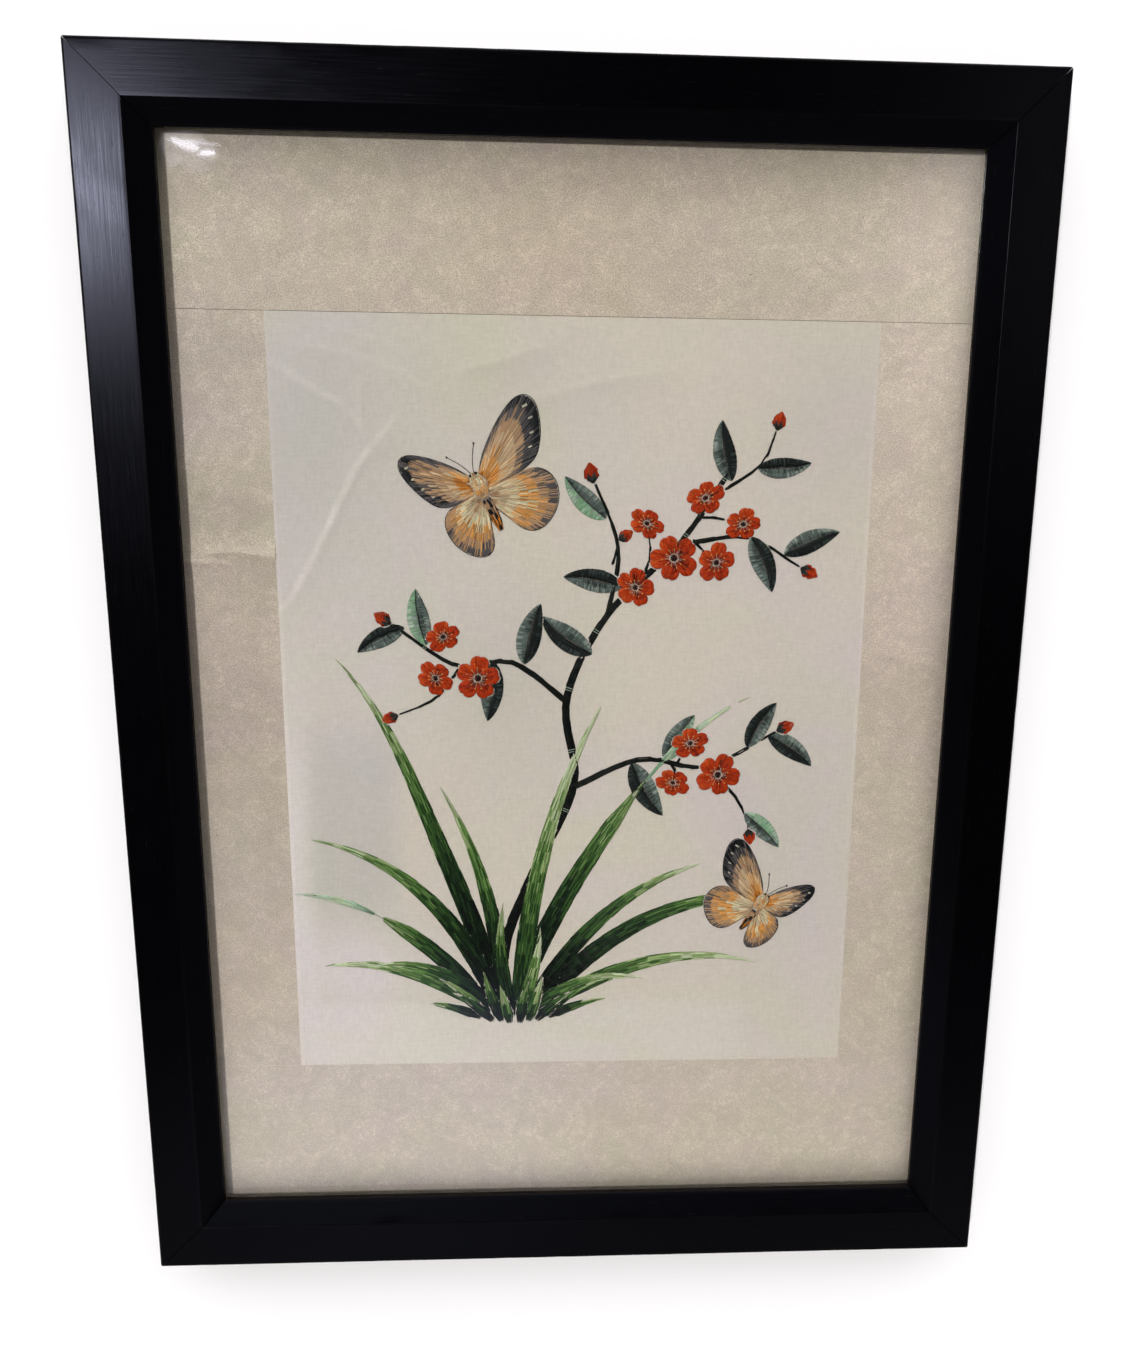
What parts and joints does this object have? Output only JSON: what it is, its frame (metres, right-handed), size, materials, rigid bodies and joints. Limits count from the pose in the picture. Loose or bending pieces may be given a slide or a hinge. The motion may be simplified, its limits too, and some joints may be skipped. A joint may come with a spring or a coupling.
{
  "type": "framed silk embroidery with its black picture frame",
  "caption": "Silk embroidery bordered with figured silk, glazed in a black mitred wooden picture frame.",
  "frame": {"origin": "middle of the frame's back, on the surface that it lies on", "axes": "+X to the picture's right, +Y to the picture's top, +Z out of the picture's face"},
  "size_m": [0.42, 0.576, 0.024],
  "materials": {
    "black_lacquered_wood": "satin black lacquer with faint grain",
    "picture_glass": "clear float glass",
    "ivory_plain_silk": "plain weave silk, soft sheen",
    "cream_figured_silk": "figured silk with small glints",
    "embroidery_floss": "flat silk floss in long and short stitches",
    "brown_hardboard": "plain pressed board"
  },
  "bodies": {
    "root": {"frame_rail_top": "black_lacquered_wood", "frame_rail_left": "black_lacquered_wood", "frame_rail_bottom": "black_lacquered_wood", "frame_rail_right": "black_lacquered_wood", "glass_pane": "picture_glass", "silk_panel": "ivory_plain_silk", "brocade_left": "cream_figured_silk", "brocade_right": "cream_figured_silk", "brocade_top": "cream_figured_silk", "brocade_bottom": "cream_figured_silk", "backing_board": "brown_hardboard"}
  },
  "joints": []
}
